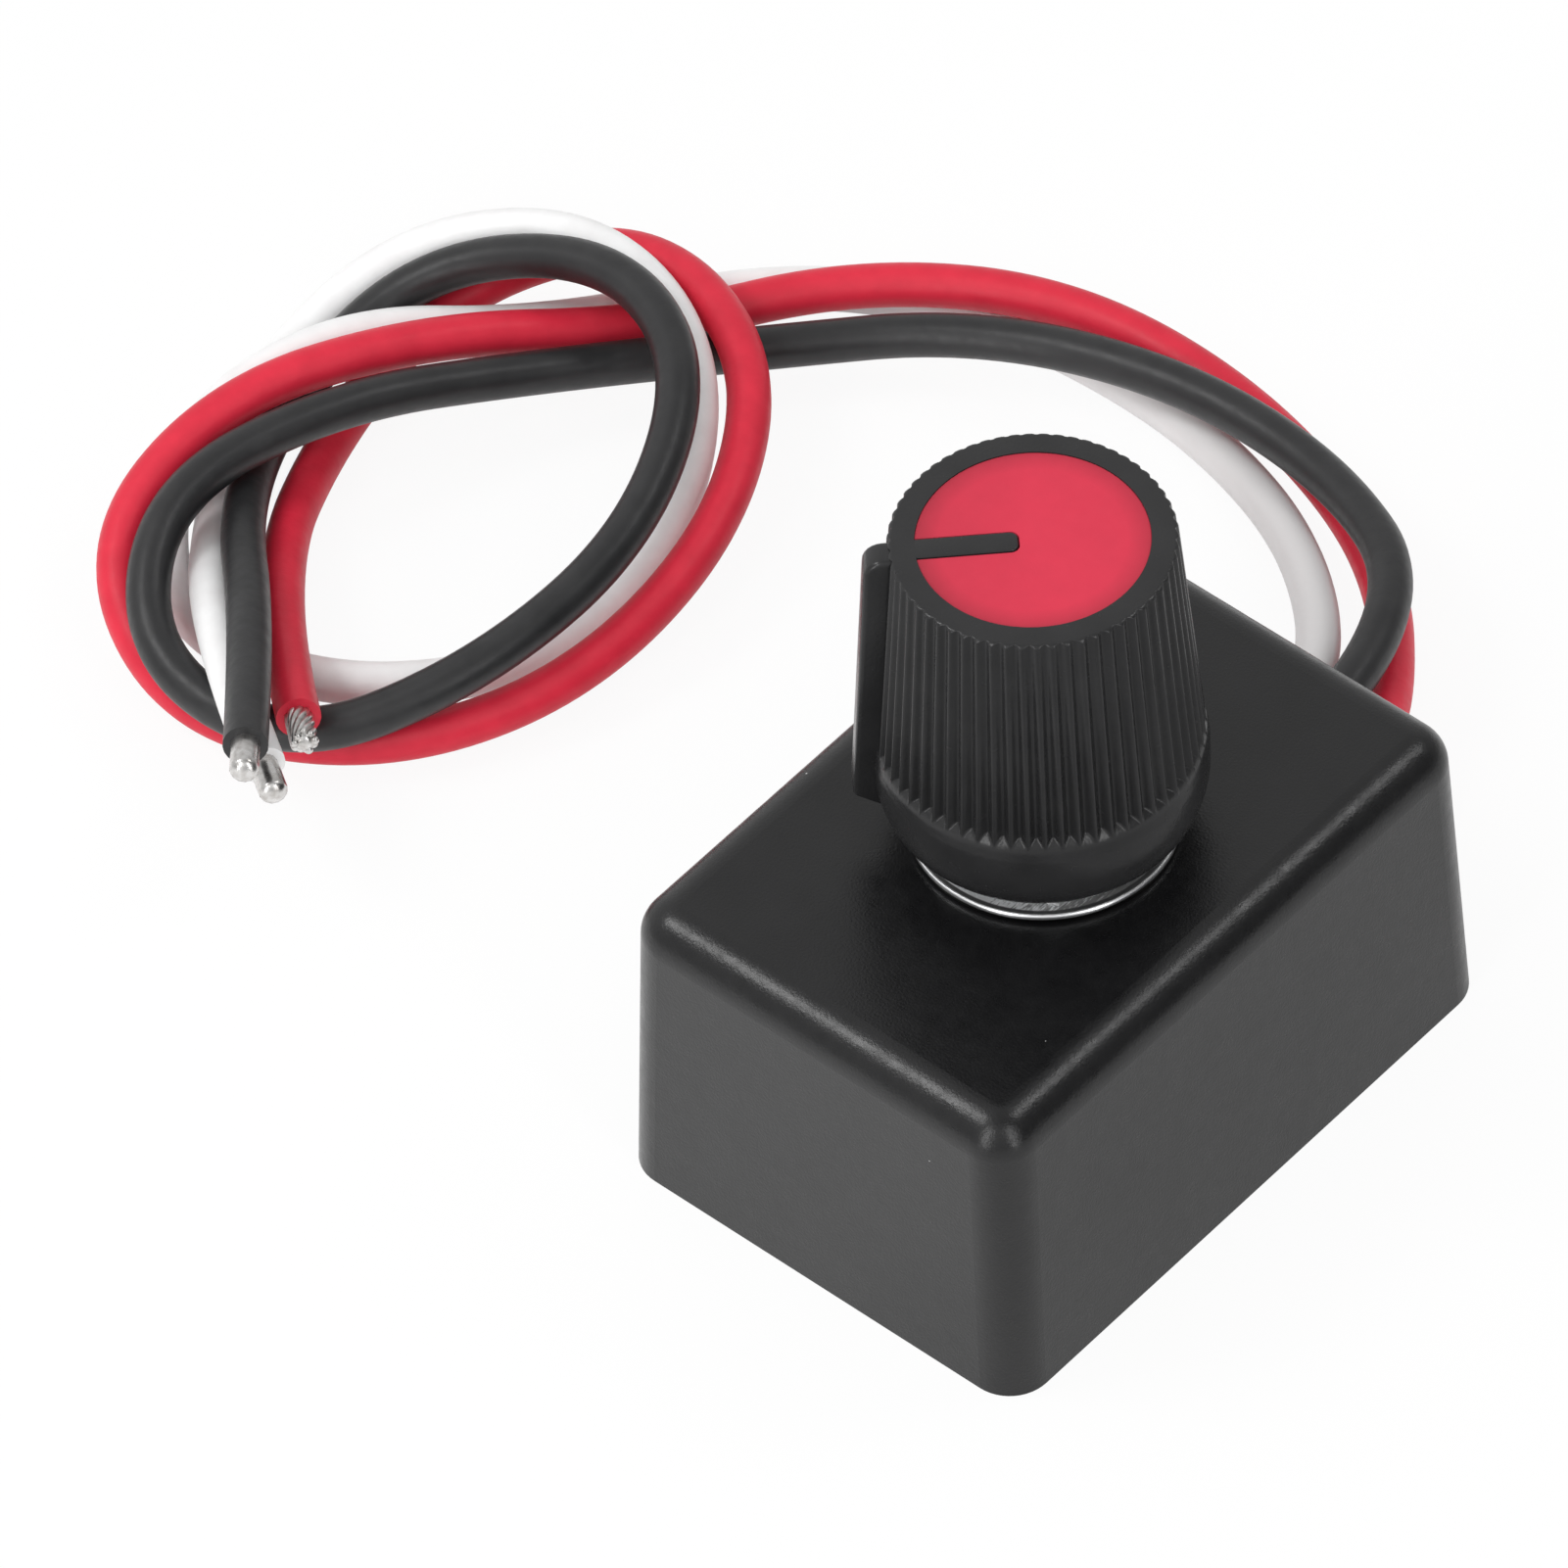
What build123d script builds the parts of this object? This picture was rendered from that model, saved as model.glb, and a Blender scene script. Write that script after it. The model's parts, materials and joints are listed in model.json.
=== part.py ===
from build123d import *
from math import cos, radians, sin, tan
import os

os.makedirs("parts", exist_ok=True)

# Rotary dimmer for LED strip: a small moulded box, a potentiometer with a fluted knob, three loose leads.
# Sizes are in millimetres. The origin is the middle of the underside, +Z is up, and the leads leave at +Y.

# Fits
fit_gap = 0.1
press_gap = 0.02
moulded_corner = 0.3

# Housing and its cover
wall = 1.6
roof = 1.8
box_draft = 2.0
corner_radius = 2.1
top_edge_radius = 1.9
side_room = 1.32
end_room = 3.5
cover_thickness = 1.6
cover_lip = 0.8
rim_thickness = 1.0
rim_clearance = 0.2
post_radius = 1.3
post_height = 1.4
post_inset = 2.4

# Circuit board and what it carries
board_thickness = 1.6
board_gap = 0.4
component_room = 3.6
part_margin = 0.5
mosfet_length = 6.1
mosfet_width = 6.6
mosfet_height = 2.3
mosfet_tab = 1.0
mosfet_tab_width = 5.3
mosfet_leg = 2.4
mosfet_leg_width = 0.8
mosfet_leg_pitch = 4.6
chip_length = 4.9
chip_width = 3.9
chip_height = 1.4
chip_pin_reach = 1.05
chip_pin_pitch = 1.27
chip_pins_a_side = 4
chip_row = -3.0
diode_length = 4.3
diode_width = 2.6
diode_height = 2.1
diode_clip_width = 1.4
diode_clip_height = 1.1
diode_row = 4.5
capacitor_length = 2.0
capacitor_width = 1.25
capacitor_height = 0.9
capacitor_inset = 5.1
capacitor_pitch = 2.5
resistor_length = 1.6
resistor_width = 0.8
resistor_height = 0.45
resistor_row = -8.6
resistor_count = 5
resistor_pitch = 2.2
metal_thickness = 0.3
metal_heat_tab = 0.5
body_chamfer = 0.3
solder_radius = 1.05
solder_tip_radius = 0.7

# Potentiometer
travel = 270.0
pot_radius = 8.3
plate_thickness = 0.9
shaft_radius = 3.0
shaft_clearance = 0.05
shaft_length = 15.0
shaft_flat = 1.5
spigot_step = 0.8
bushing_wall = 0.45
bushing_chamfer = 0.3
thread_tail = 1.3
tab_thickness = 0.9
tab_width = 2.6
tab_height = 0.8
tab_inset = 0.5
case_depth = 6.0
case_wall = 0.4
wafer_thickness = 1.2
track_thickness = 0.15
track_width = 1.4
track_overrun = 25.0
collector_radius = 3.2
tongue_length = 2.7
tongue_width = 12.4
terminal_pitch = 5.0
terminal_thickness = 0.4
terminal_width = 1.0
terminal_pad = 2.0
terminal_tail = 0.8
rotor_thickness = 1.4
rotor_side_gap = 1.0
lug_half_angle = 8.0
lug_width = 1.6
stop_clearance = 1.0
stop_gap = 0.2
wiper_thickness = 0.2
wiper_width = 1.2
finger_width = 0.8
finger_reach = 1.4
wiper_lift = 1.05
wiper_gap = 0.05
washer_radius = 6.2
washer_thickness = 0.5
nut_across_flats = 10.0
nut_height = 2.0
nut_turn = 17.0
nut_chamfer = 0.6
nut_chamfer_run = 1.0

# Knob and its cap
knob_gap = 1.7
knob_crown = 5.3
knob_taper = 4.3
knob_clearance = 0.23
headroom = 0.5
skirt_wall = 1.5
skirt_height = 3.7
skirt_round = 1.4
skirt_round_rise = 2.6
skirt_step = 0.08
collar_height = 1.0
collar_lean = 0.14
collar_width = 0.7
collar_crown = 0.28
collar_round = 0.3
top_round = 0.2
flute_count = 60
flute_mouth = 0.42
flute_floor = 0.12
flute_depth = 0.4
flute_rise = 0.1
flute_cut = 2.0
pointer_width = 1.4
pointer_root = 0.55
pointer_stand = 1.0
pointer_top_stand = 1.1
pointer_drop = 0.1
pointer_corner = 0.9
pointer_edge = 0.3
pointer_toe = 0.6
pointer_toe_rise = 1.0
cap_rim = 1.15
cap_recess = 0.8
cap_gap = 0.05
bar_width = 1.12
bar_start = 0.65
bar_corner = 0.35

# Leads
lead_diameter = 2.1
lead_pitch = 2.3
lead_height = 5.9
lead_inside = 5.0
lead_outside = 1.0
slot_clearance = 0.35
conductor_radius = 0.6
conductor_length = 1.7
arc_share = 0.45

# Heights, from the table upwards
board_bottom = cover_thickness + post_height
board_top = board_bottom + board_thickness
case_bottom = board_top + component_room
plate_bottom = case_bottom + case_depth
ceiling = plate_bottom + plate_thickness
box_height = ceiling + roof
wafer_bottom = case_bottom + case_wall
wafer_top = wafer_bottom + wafer_thickness
track_top = wafer_top + track_thickness
wiper_bottom = track_top + wiper_gap + wiper_lift - wiper_thickness
rotor_bottom = wiper_bottom + wiper_thickness
rotor_top = rotor_bottom + rotor_thickness
washer_top = box_height + washer_thickness
nut_top = washer_top + nut_height
bushing_top = nut_top + thread_tail
shaft_top = ceiling + shaft_length
knob_base = box_height + knob_gap
knob_top = shaft_top + knob_crown
shoulder = knob_base + skirt_height
collar_top = shoulder + collar_height + collar_crown


def lean(height):
    """How far the drafted walls have moved in at a height."""
    return height * tan(radians(box_draft))


# Widths, from the potentiometer outwards
tongue_reach = pot_radius + tongue_length
box_width = 2 * (pot_radius + side_room + wall + lean(ceiling))
box_length = 2 * (tongue_reach + terminal_thickness + end_room + wall)
inner_corner = max(corner_radius - wall, moulded_corner)
seat_corner = max(corner_radius - cover_lip, moulded_corner)
board_width = box_width - 2 * (wall + lean(board_top) + board_gap)
board_length = box_length - 2 * (wall + lean(board_top) + board_gap)
terminal_row = -(tongue_reach + terminal_thickness / 2)
capacitor_row = board_length / 2 - capacitor_inset
lead_start = box_length / 2 - lead_inside
lead_exit = box_length / 2 + lead_outside
rim_height = post_height - rim_clearance
rim_top = cover_thickness + rim_height
bushing_radius = shaft_radius + shaft_clearance + bushing_wall
rotor_radius = pot_radius - case_wall - rotor_side_gap
track_radius = rotor_radius - track_width / 2
tab_offset = pot_radius - tab_inset - tab_thickness / 2
nut_corner = nut_across_flats / 2 / cos(radians(30))
hollow_radius = nut_corner + knob_clearance
hollow_top = nut_top + headroom
pocket_top = bushing_top + headroom
skirt_radius = hollow_radius + skirt_wall
flute_radius = skirt_radius - skirt_step
knob_top_radius = flute_radius - (knob_top - shoulder) * tan(radians(knob_taper))
cap_radius = knob_top_radius - cap_rim
pointer_angle = -90 - (360 - travel) / 2
stop_half_angle = (360 - travel) / 2 - lug_half_angle - stop_clearance
pointer_direction = Vector(cos(radians(pointer_angle)), sin(radians(pointer_angle)), 0)

# Lead routes, chosen by hand along one loose overhand knot: out of the slot, round the loop, to the tails
red_route = [
    (lead_pitch, lead_start, lead_height), (lead_pitch, lead_exit, lead_height), (0.5, 23.5, 3.5),
    (-6.5, 31.5, 2.5), (-17, 35, 3), (-28, 34.5, 3.5), (-37, 29.5, 3), (-43, 21, 2.5), (-48.5, 12, 6),
    (-53, 2.5, 6.5), (-52.5, -6.5, 4), (-44.5, -10, 1.1), (-35.5, -6, 1.5), (-30.5, 2.5, 2.5),
    (-30.5, 13, 4.5), (-36, 21.5, 5.5), (-45.5, 24, 5), (-52, 18, 2), (-51, 8, 1.1), (-45.5, -2.5, 3.5),
    (-37, -9.5, 6),
]
black_route = [
    (0, lead_start, lead_height), (0, lead_exit, lead_height), (-2.5, 28.5, 6), (-10.5, 32.5, 5),
    (-20.5, 33, 4.5), (-30.5, 30, 3.5), (-38, 23.5, 2.5), (-44, 15, 4), (-48.5, 6, 6.5), (-51, -3.5, 6.5),
    (-46.5, -10, 4), (-38, -9.5, 3), (-33, -1.5, 5), (-32, 8.5, 6.5), (-36, 17, 8.5), (-44, 20, 8),
    (-52.5, 16.5, 4.5), (-53.5, 8, 2), (-49, -0.5, 4.5), (-41.5, -7.5, 7.5), (-35.5, -14.5, 9.5),
]
white_route = [
    (-lead_pitch, lead_start, lead_height), (-lead_pitch, lead_exit, lead_height), (-3.5, 23.5, 4.5),
    (-10, 29.5, 3), (-18.5, 33, 1.5), (-27, 34, 1.1), (-35, 33, 1.1), (-42, 28.5, 1.5), (-47, 19, 2.5),
    (-52.5, 10, 5.5), (-54.5, 1, 4), (-49.5, -5.5, 1.1), (-40.5, -5, 1.5), (-33.5, 2, 1.5), (-32.5, 11.5, 3),
    (-37.5, 19.5, 6), (-46.5, 22, 6.5), (-54.5, 17.5, 4), (-56, 8.5, 1.1), (-51.5, 0.5, 1.5),
    (-44.5, -7.5, 5.5), (-36, -13, 6.5),
]


def box_outline(height, inset, corner, mode=Mode.ADD):
    """Rounded rectangle that follows the drafted walls at a height, moved in by an inset."""
    inward = 2 * (lean(height) + inset)
    RectangleRounded(box_width - inward, box_length - inward, corner, mode=mode)


def pointer_plane(height):
    """Level plane at a height whose X runs along the knob's pointer."""
    return Plane(origin=(0, 0, height), x_dir=pointer_direction, z_dir=(0, 0, 1))


def ring_sector(inner, outer, middle, half_angle):
    """Part of a flat ring about a middle direction, in the open sketch."""
    with BuildLine() as outline:
        far = CenterArc((0, 0), outer, middle - half_angle, 2 * half_angle)
        near = CenterArc((0, 0), inner, middle - half_angle, 2 * half_angle)
        Line(far @ 0, near @ 0)
        Line(far @ 1, near @ 1)
    make_face(outline.edges())


def d_section(gap):
    """Round section with one flat that faces the pointer, in the open sketch."""
    Circle(shaft_radius + gap)
    with Locations((shaft_flat + gap, 0)):
        Rectangle(shaft_radius, 3 * shaft_radius, align=(Align.MIN, Align.CENTER), mode=Mode.SUBTRACT)


def pointer_bar(gap):
    """Bar from near the axis past the rim, with rounded corners, taken out of the open sketch."""
    width = bar_width + 2 * gap
    middle = bar_start - gap + knob_top_radius / 2
    with Locations((middle, 0)):
        RectangleRounded(knob_top_radius, width, bar_corner + gap, mode=Mode.SUBTRACT)


def on_board(x, y, length, width, height):
    """Block that stands on the board."""
    with Locations((x, y, board_top)):
        Box(length, width, height, align=(Align.CENTER, Align.CENTER, Align.MIN))


def arc_radii(points):
    """Radius of the arc at each corner of a route, as large as the two runs allow."""
    corners = [Vector(*point) for point in points]
    radii = []
    for before, corner, after in zip(corners, corners[1:], corners[2:]):
        run_in = corner - before
        run_out = after - corner
        half_turn = radians(run_in.get_angle(run_out)) / 2
        radii.append(arc_share * min(run_in.length, run_out.length) / tan(half_turn))
    return radii


# Housing shell: drafted box, open below, with a rounded top edge
with BuildPart() as housing_shell:
    with BuildSketch():
        box_outline(0, 0, corner_radius)
    with BuildSketch(Plane.XY.offset(box_height)):
        box_outline(box_height, 0, corner_radius)
    loft(ruled=True)
    fillet(housing_shell.faces().sort_by(Axis.Z)[-1].edges(), top_edge_radius)
    with BuildSketch():
        box_outline(0, wall, inner_corner)
    with BuildSketch(Plane.XY.offset(ceiling)):
        box_outline(ceiling, wall, inner_corner)
    loft(ruled=True, mode=Mode.SUBTRACT)
    with BuildSketch():
        box_outline(0, cover_lip, seat_corner)
    extrude(amount=cover_thickness, mode=Mode.SUBTRACT)
    with Locations((0, 0, box_height)):
        Hole(bushing_radius + fit_gap, depth=2 * roof)
    with BuildSketch(Plane.XY.offset(ceiling)):
        with Locations((-tab_offset, 0)):
            Rectangle(tab_thickness + 2 * fit_gap, tab_width + 2 * fit_gap)
    extrude(amount=tab_height + fit_gap, mode=Mode.SUBTRACT)
    lead_wall = Plane(origin=(0, box_length / 2, lead_height), x_dir=(1, 0, 0), z_dir=(0, 1, 0))
    with BuildSketch(lead_wall):
        slot_height = lead_diameter + 2 * slot_clearance
        SlotOverall(2 * lead_pitch + slot_height, slot_height)
    extrude(amount=-wall - lean(box_height), mode=Mode.SUBTRACT)
housing_shell.part.label = "housing_shell"
export_step(housing_shell.part, "parts/housing_shell.step")

# Bottom cover: plate let into the walls, a locating rim and four posts under the board
with BuildPart() as bottom_cover:
    with BuildSketch():
        box_outline(0, cover_lip + fit_gap, seat_corner)
    extrude(amount=cover_thickness)
    with BuildSketch(Plane.XY.offset(cover_thickness)):
        box_outline(rim_top, wall + fit_gap, inner_corner)
        box_outline(rim_top, wall + fit_gap + rim_thickness, inner_corner, mode=Mode.SUBTRACT)
    extrude(amount=rim_height)
    with BuildSketch(Plane.XY.offset(cover_thickness)):
        with GridLocations(board_width - 2 * post_inset, board_length - 2 * post_inset, 2, 2):
            Circle(post_radius)
    extrude(amount=post_height)
bottom_cover.part.label = "bottom_cover"
export_step(bottom_cover.part, "parts/bottom_cover.step")

# Circuit board on the posts, with a hole for each potentiometer terminal
with BuildPart() as circuit_board:
    with BuildSketch(Plane.XY.offset(board_bottom)):
        RectangleRounded(board_width, board_length, inner_corner)
        with Locations((0, terminal_row)):
            with GridLocations(terminal_pitch, 1, 3, 1):
                Circle(terminal_width / 2 + 2 * fit_gap, mode=Mode.SUBTRACT)
    extrude(amount=board_thickness)
circuit_board.part.label = "circuit_board"
export_step(circuit_board.part, "parts/circuit_board.step")

# Switching transistor, its heat tab towards the board's edge
mosfet_place = board_width / 2 - part_margin - mosfet_tab - mosfet_length / 2
with BuildPart() as driver_mosfet:
    on_board(mosfet_place, 0, mosfet_length, mosfet_width, mosfet_height)
    chamfer(driver_mosfet.faces().sort_by(Axis.Z)[-1].edges(), body_chamfer)
    on_board(mosfet_place + mosfet_tab / 2, 0, mosfet_length + mosfet_tab, mosfet_tab_width, metal_heat_tab)
    for side in (-1, 1):
        on_board(
            mosfet_place - mosfet_leg / 2,
            side * mosfet_leg_pitch / 2,
            mosfet_length + mosfet_leg,
            mosfet_leg_width,
            metal_heat_tab,
        )
driver_mosfet.part.label = "driver_mosfet"
export_step(driver_mosfet.part, "parts/driver_mosfet.step")

# Timer chip with eight pins
chip_place = chip_width / 2 + chip_pin_reach + part_margin - board_width / 2
with BuildPart() as timer_chip:
    on_board(chip_place, chip_row, chip_width, chip_length, chip_height)
    chamfer(timer_chip.faces().sort_by(Axis.Z)[-1].edges(), body_chamfer)
    for pin in range(chip_pins_a_side):
        pin_row = chip_row + (pin - (chip_pins_a_side - 1) / 2) * chip_pin_pitch
        on_board(chip_place, pin_row, chip_width + 2 * chip_pin_reach, metal_thickness, metal_thickness)
timer_chip.part.label = "timer_chip"
export_step(timer_chip.part, "parts/timer_chip.step")

# Diode across the output
diode_place = diode_length / 2 + metal_thickness + part_margin - board_width / 2
with BuildPart() as flyback_diode:
    on_board(diode_place, diode_row, diode_length, diode_width, diode_height)
    chamfer(flyback_diode.faces().sort_by(Axis.Z)[-1].edges(), body_chamfer)
    on_board(diode_place, diode_row, diode_length + 2 * metal_thickness, diode_clip_width, diode_clip_height)
flyback_diode.part.label = "flyback_diode"
export_step(flyback_diode.part, "parts/flyback_diode.step")

# Ceramic capacitors in the corners beside the leads
capacitor_place = board_width / 2 - part_margin - capacitor_length
with BuildPart() as chip_capacitors:
    for x, y in (
        (-capacitor_place, capacitor_row),
        (-capacitor_place, capacitor_row + capacitor_pitch),
        (capacitor_place, capacitor_row),
    ):
        on_board(x, y, capacitor_length, capacitor_width, capacitor_height)
chip_capacitors.part.label = "chip_capacitors"
export_step(chip_capacitors.part, "parts/chip_capacitors.step")

# Resistors in a row between the terminals and the chip
with BuildPart() as chip_resistors:
    for number in range(resistor_count):
        resistor_place = (number - (resistor_count - 1) / 2) * resistor_pitch
        on_board(resistor_place, resistor_row, resistor_width, resistor_length, resistor_height)
chip_resistors.part.label = "chip_resistors"
export_step(chip_resistors.part, "parts/chip_resistors.step")

# Solder joints, each with a flat where its lead's end meets it
with BuildPart() as solder_joints:
    with Locations((0, lead_start - solder_tip_radius, board_top)):
        with GridLocations(lead_pitch, 1, 3, 1):
            Cone(
                solder_radius,
                solder_tip_radius,
                lead_height + conductor_radius - board_top,
                align=(Align.CENTER, Align.CENTER, Align.MIN),
            )
    chamfer(solder_joints.edges().group_by(Axis.Z)[-1], solder_tip_radius / 2)
    split(bisect_by=Plane.XZ.offset(-lead_start), keep=Keep.TOP)
solder_joints.part.label = "solder_joints"
export_step(solder_joints.part, "parts/solder_joints.step")

# Potentiometer front plate and bushing in one casting, with the locating tab and the end stop
with BuildPart() as pot_bushing:
    with BuildSketch(Plane.XY.offset(plate_bottom)):
        Circle(pot_radius)
    extrude(amount=plate_thickness)
    with BuildSketch(Plane.XY.offset(ceiling)):
        Circle(bushing_radius)
    extrude(amount=bushing_top - ceiling)
    chamfer(pot_bushing.edges().group_by(Axis.Z)[-1], bushing_chamfer)
    with BuildSketch(Plane.XY.offset(ceiling)):
        with Locations((-tab_offset, 0)):
            Rectangle(tab_thickness, tab_width)
    extrude(amount=tab_height)
    with BuildSketch(Plane.XY.offset(plate_bottom)):
        ring_sector(rotor_radius - lug_width, rotor_radius, -90, stop_half_angle)
    extrude(amount=rotor_top + stop_gap - plate_bottom)
    with Locations((0, 0, bushing_top)):
        Hole(shaft_radius + shaft_clearance)
pot_bushing.part.label = "pot_bushing"
export_step(pot_bushing.part, "parts/pot_bushing.step")

# Shaft: a spigot in the rotor, a round journal in the bushing and a D end in the knob
with BuildPart() as pot_shaft:
    with BuildSketch(Plane.XY.offset(wiper_bottom - wiper_thickness)):
        Circle(shaft_radius - spigot_step)
    extrude(amount=rotor_top - wiper_bottom + wiper_thickness)
    with BuildSketch(Plane.XY.offset(rotor_top)):
        Circle(shaft_radius)
    extrude(amount=bushing_top + fit_gap - rotor_top)
    with BuildSketch(pointer_plane(bushing_top + fit_gap)):
        d_section(0)
    extrude(amount=shaft_top - bushing_top - fit_gap)
pot_shaft.part.label = "pot_shaft"
export_step(pot_shaft.part, "parts/pot_shaft.step")

# Rotor: disc under the shaft's shoulder, with the lug that runs between the end stop's two faces
with BuildPart() as pot_rotor:
    with BuildSketch(Plane.XY.offset(rotor_bottom)):
        Circle(rotor_radius)
    extrude(amount=rotor_thickness)
    with BuildSketch(Plane.XY.offset(rotor_top)):
        ring_sector(rotor_radius - lug_width, rotor_radius, pointer_angle, lug_half_angle)
    extrude(amount=plate_bottom - stop_gap - rotor_top)
    with Locations((0, 0, rotor_top)):
        Hole(shaft_radius - spigot_step + press_gap)
pot_rotor.part.label = "pot_rotor"
export_step(pot_rotor.part, "parts/pot_rotor.step")

# Wiper: strip under the rotor with two sprung fingers, one on the track and one on the collector
with BuildPart() as pot_wiper:
    with BuildSketch(pointer_plane(wiper_bottom)):
        Circle(collector_radius + wiper_width / 2)
        with Locations((track_radius / 2, 0)):
            Rectangle(track_radius + wiper_width, wiper_width)
        Circle(shaft_radius - spigot_step + press_gap, mode=Mode.SUBTRACT)
    extrude(amount=wiper_thickness)
    for reach in (track_radius, -collector_radius):
        across = Plane(
            origin=reach * pointer_direction + Vector(0, 0, wiper_bottom + wiper_thickness),
            x_dir=Vector(0, 0, 1).cross(pointer_direction),
            z_dir=pointer_direction,
        )
        with BuildSketch(across):
            Polygon(
                (0, 0),
                (0, -wiper_thickness),
                (finger_reach, -wiper_lift),
                (finger_reach, wiper_thickness - wiper_lift),
                align=None,
            )
        extrude(amount=finger_width / 2, both=True)
pot_wiper.part.label = "pot_wiper"
export_step(pot_wiper.part, "parts/pot_wiper.step")

# Wafer: insulating disc on the case's floor, with a tongue for the terminals
with BuildPart() as pot_wafer:
    with BuildSketch(Plane.XY.offset(wafer_bottom)):
        Circle(pot_radius - case_wall - fit_gap)
        Rectangle(tongue_width, tongue_reach, align=(Align.CENTER, Align.MAX))
    extrude(amount=wafer_thickness)
pot_wafer.part.label = "pot_wafer"
export_step(pot_wafer.part, "parts/pot_wafer.step")

# Printed tracks: the resistive arc, open at the terminals, and the collector ring
with BuildPart() as pot_tracks:
    with BuildSketch(Plane.XY.offset(wafer_top)):
        half_track = track_width / 2
        ring_sector(track_radius - half_track, track_radius + half_track, 90, travel / 2 + track_overrun)
        Circle(collector_radius + half_track)
        Circle(collector_radius - half_track, mode=Mode.SUBTRACT)
    extrude(amount=track_thickness)
pot_tracks.part.label = "pot_tracks"
export_step(pot_tracks.part, "parts/pot_tracks.step")

# Terminals: three bent lugs from the wafer's tongue down through the board
with BuildPart() as pot_terminals:
    with Locations((0, -tongue_reach - terminal_thickness, wafer_top)):
        with GridLocations(terminal_pitch, 1, 3, 1):
            Box(
                terminal_width,
                terminal_pad + terminal_thickness,
                terminal_thickness,
                align=(Align.CENTER, Align.MIN, Align.MIN),
            )
            Box(
                terminal_width,
                terminal_thickness,
                wafer_top - board_bottom + terminal_tail,
                align=(Align.CENTER, Align.MIN, Align.MAX),
            )
pot_terminals.part.label = "pot_terminals"
export_step(pot_terminals.part, "parts/pot_terminals.step")

# Case: drawn cup against the front plate, with a window for the tongue
with BuildPart() as pot_case:
    with BuildSketch(Plane.XY.offset(case_bottom)):
        Circle(pot_radius)
    extrude(amount=case_depth)
    with BuildSketch(Plane.XY.offset(wafer_bottom)):
        Circle(pot_radius - case_wall)
    extrude(amount=case_depth - case_wall, mode=Mode.SUBTRACT)
    with BuildSketch(Plane.XY.offset(wafer_bottom)):
        Rectangle(tongue_width + 2 * fit_gap, tongue_reach, align=(Align.CENTER, Align.MAX))
    extrude(amount=wafer_thickness + terminal_thickness + fit_gap, mode=Mode.SUBTRACT)
pot_case.part.label = "pot_case"
export_step(pot_case.part, "parts/pot_case.step")

# Plated washer on the housing's roof
with BuildPart() as pot_washer:
    with BuildSketch(Plane.XY.offset(box_height)):
        Circle(washer_radius)
        Circle(bushing_radius + fit_gap, mode=Mode.SUBTRACT)
    extrude(amount=washer_thickness)
pot_washer.part.label = "pot_washer"
export_step(pot_washer.part, "parts/pot_washer.step")

# Hexagon nut, its upper corners turned off
with BuildPart() as pot_nut:
    with BuildSketch(Plane.XY.offset(washer_top)):
        RegularPolygon(nut_across_flats / 2, 6, major_radius=False, rotation=nut_turn)
        Circle(bushing_radius + press_gap, mode=Mode.SUBTRACT)
    extrude(amount=nut_height)
    with BuildSketch(Plane.XZ):
        Polygon(
            (0, washer_top), (nut_corner, washer_top), (nut_corner, nut_top - nut_chamfer),
            (nut_corner - nut_chamfer_run, nut_top), (0, nut_top),
            align=None,
        )
    revolve(axis=Axis.Z, mode=Mode.INTERSECT)
pot_nut.part.label = "pot_nut"
export_step(pot_nut.part, "parts/pot_nut.step")

# Cutter for one flute of the knob: a channel with leaning sides that gets shallower towards the top
flute_height = knob_top - shoulder
flute_slope = (flute_radius - knob_top_radius - flute_rise) / flute_height
flute_root = flute_radius - flute_depth + flute_slope * collar_height
flute_spread = (flute_mouth - flute_floor) / flute_depth
cutter_width = flute_floor + flute_spread * flute_cut
with BuildPart() as flute_cutter:
    with BuildSketch(Plane.XY.offset(shoulder - collar_height)):
        Polygon(
            (flute_root, -flute_floor / 2),
            (flute_root + flute_cut, -cutter_width / 2),
            (flute_root + flute_cut, cutter_width / 2),
            (flute_root, flute_floor / 2),
            align=None,
        )
    flute_run = Vector(-flute_slope, 0, 1)
    extrude(amount=(flute_height + 2 * collar_height) * flute_run.length, dir=flute_run)

# Pointer rib on the knob's side, from the rim down to a toe on the skirt
pointer_side = Plane(
    origin=(0, 0, 0), x_dir=pointer_direction, z_dir=pointer_direction.cross(Vector(0, 0, 1))
)
with BuildPart() as pointer_rib:
    with BuildSketch(pointer_side) as rib_profile:
        Polygon(
            (cap_radius + pointer_root, knob_base + pointer_toe),
            (skirt_radius - pointer_root, knob_base + pointer_toe),
            (skirt_radius + pointer_stand, knob_base + pointer_toe + pointer_toe_rise),
            (knob_top_radius + pointer_top_stand, knob_top - pointer_drop),
            (cap_radius + pointer_root, knob_top - pointer_drop),
            align=None,
        )
        fillet(rib_profile.vertices().group_by(Axis.Y)[-1].sort_by(Axis.X)[-1], pointer_corner)
    extrude(amount=pointer_width / 2, both=True)
    front = pointer_rib.faces().sort_by(Axis((0, 0, 0), pointer_direction))[-1]
    fillet(front.edges().sort_by(SortBy.LENGTH)[-2:], pointer_edge)

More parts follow.
